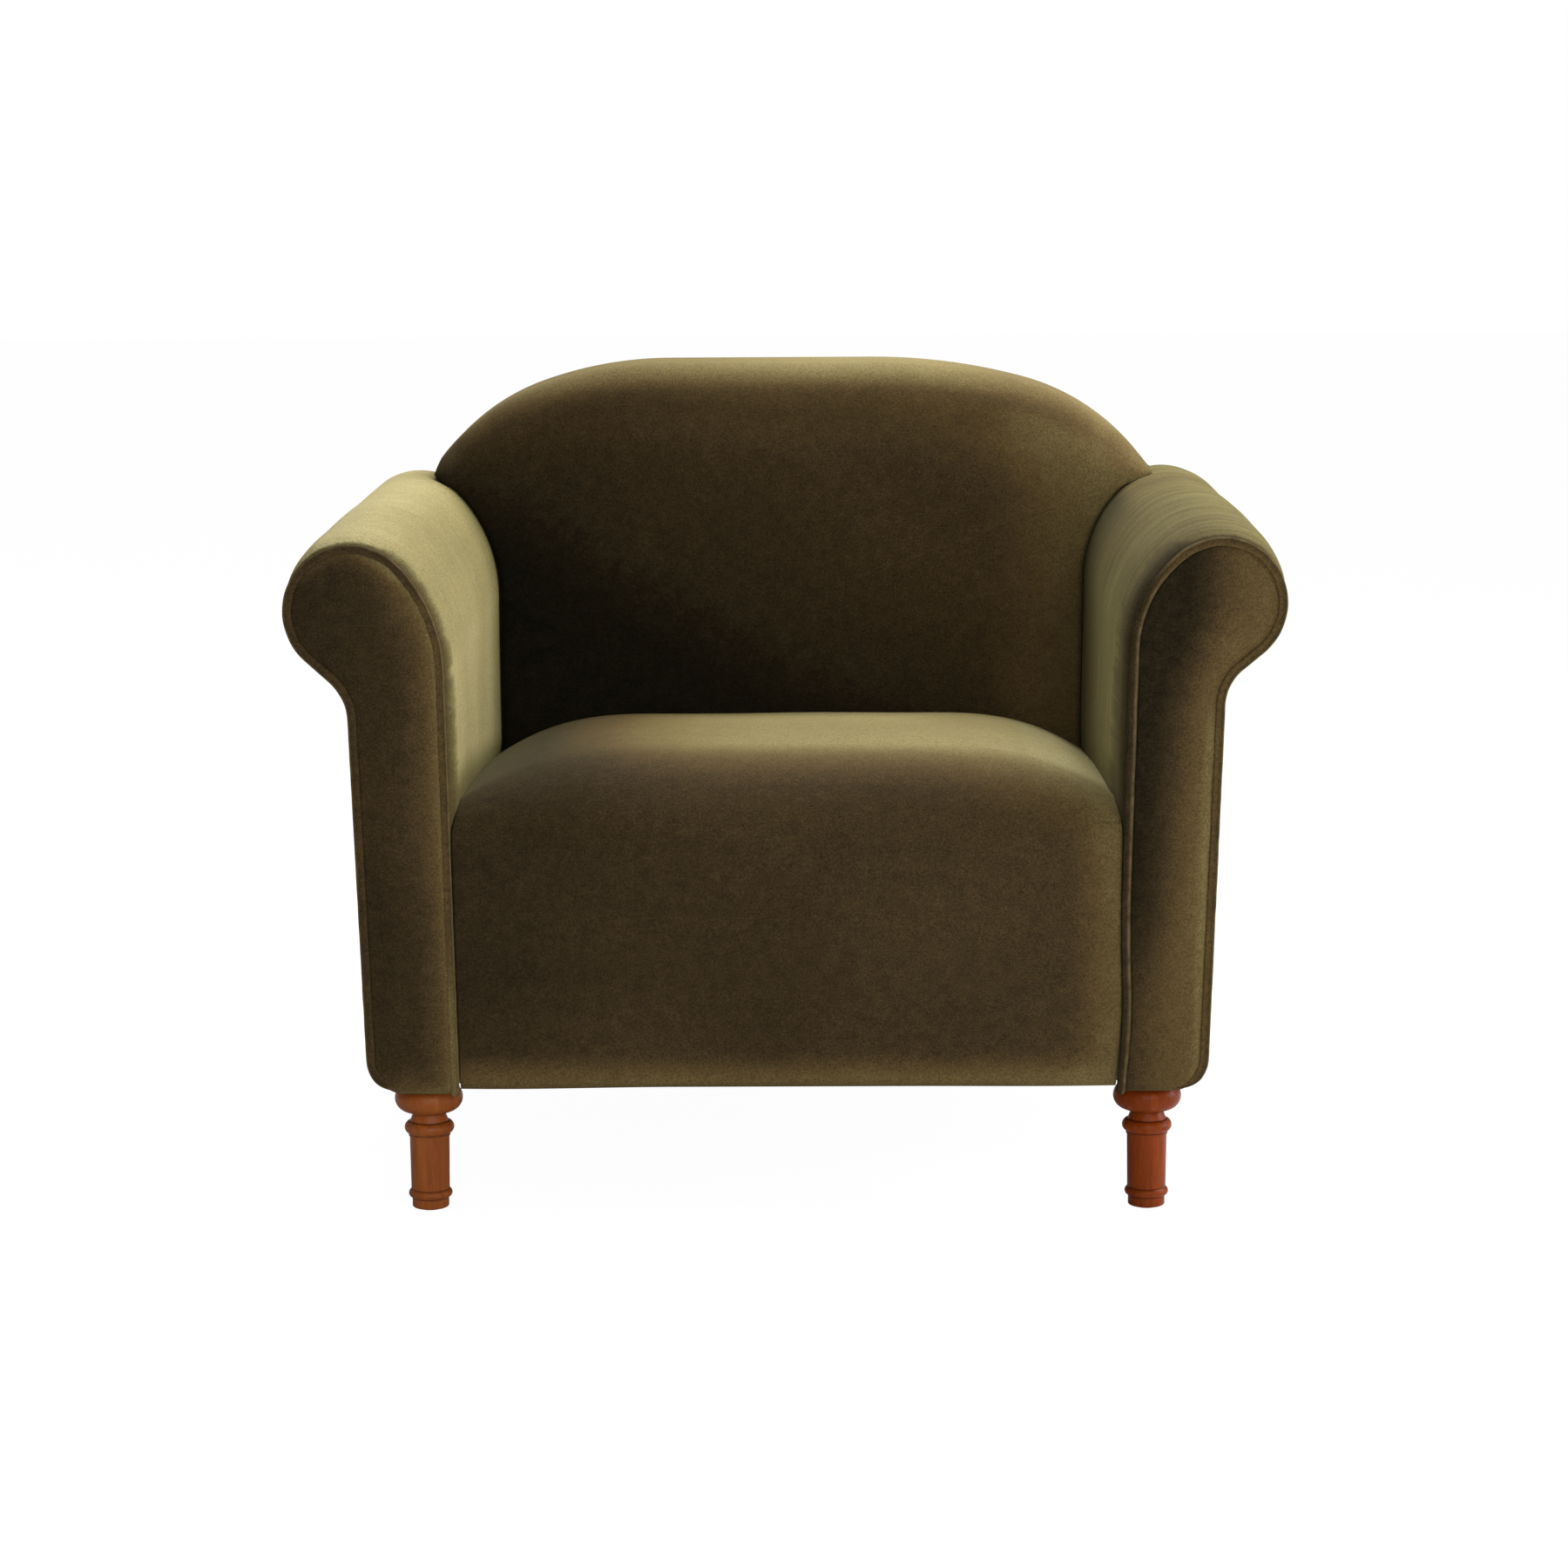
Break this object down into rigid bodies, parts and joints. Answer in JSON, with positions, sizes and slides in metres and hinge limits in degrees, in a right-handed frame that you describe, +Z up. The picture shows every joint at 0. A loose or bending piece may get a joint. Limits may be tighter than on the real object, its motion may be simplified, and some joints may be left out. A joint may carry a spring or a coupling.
{
  "type": "upholstered accent armchair",
  "caption": "Upholstered armchair with rolled arms, a low camel-shaped back, a tight domed seat and turned wooden legs, for sitting.",
  "frame": {"origin": "on the floor, under the middle of the chair's bounding box", "axes": "+Z up; the front of the chair faces -Y; +X is to the right as seen from the front"},
  "size_m": [0.9836, 0.79, 0.808],
  "materials": {
    "frame_timber": "raw timber",
    "plywood": "raw plywood",
    "hardware_steel": "zinc-plated",
    "spring_steel": "oil-blackened wire",
    "felt": "pressed felt",
    "webbing": "woven",
    "fibreboard": "raw fibreboard",
    "foam": "polyurethane foam",
    "wadding": "polyester wadding",
    "band_velvet": "folded velvet band",
    "black_lining": "thin non-woven cloth",
    "turned_wood": "stained, satin lacquer",
    "glide_plastic": "moulded",
    "velvet_seat_cover": "olive velvet with a strong sheen",
    "velvet_back_cover": "olive velvet with a strong sheen",
    "velvet_arm_cover_left": "olive velvet with a strong sheen",
    "velvet_arm_cover_right": "olive velvet with a strong sheen",
    "velvet_arm_facing_left": "olive velvet with a strong sheen",
    "velvet_arm_facing_right": "olive velvet with a strong sheen",
    "velvet_outside_arm_left": "olive velvet with a strong sheen",
    "velvet_outside_arm_right": "olive velvet with a strong sheen",
    "velvet_outside_back": "olive velvet with a strong sheen"
  },
  "bodies": {
    "root": {"front_rail": "frame_timber", "rear_rail": "frame_timber", "side_rail_left": "frame_timber", "side_rail_right": "frame_timber", "corner_posts": "frame_timber", "arm_front_board_left": "plywood", "arm_front_board_right": "plywood", "arm_rear_board_left": "plywood", "arm_rear_board_right": "plywood", "arm_top_rail_left": "frame_timber", "arm_top_rail_right": "frame_timber", "arm_tack_rail_left": "frame_timber", "arm_tack_rail_right": "frame_timber", "back_post_left": "frame_timber", "back_post_right": "frame_timber", "back_top_rail": "plywood", "back_mid_rail": "frame_timber", "back_lower_rail": "frame_timber", "frame_screws": "hardware_steel", "seat_springs": "spring_steel", "spring_clips": "hardware_steel", "spring_felt": "felt", "back_webbing": "webbing", "arm_liner_left": "fibreboard", "arm_liner_right": "fibreboard", "outer_liner_left": "fibreboard", "outer_liner_right": "fibreboard", "back_liner": "fibreboard", "seat_foam": "foam", "back_foam": "foam", "back_edge_padding": "wadding", "arm_foam_left": "foam", "arm_foam_right": "foam", "seat_cover": "velvet_seat_cover", "back_cover": "velvet_back_cover", "arm_cover_left": "velvet_arm_cover_left", "arm_cover_right": "velvet_arm_cover_right", "arm_facing_left": "velvet_arm_facing_left", "arm_facing_right": "velvet_arm_facing_right", "arm_band_left": "band_velvet", "arm_band_right": "band_velvet", "outside_arm_left": "velvet_outside_arm_left", "outside_arm_right": "velvet_outside_arm_right", "outside_back": "velvet_outside_back", "dust_cover": "black_lining", "leg_front_left": "turned_wood", "leg_front_right": "turned_wood", "leg_rear_left": "turned_wood", "leg_rear_right": "turned_wood", "leg_bolts": "hardware_steel", "leg_tee_nuts": "hardware_steel", "leg_glides": "glide_plastic"}
  },
  "joints": []
}
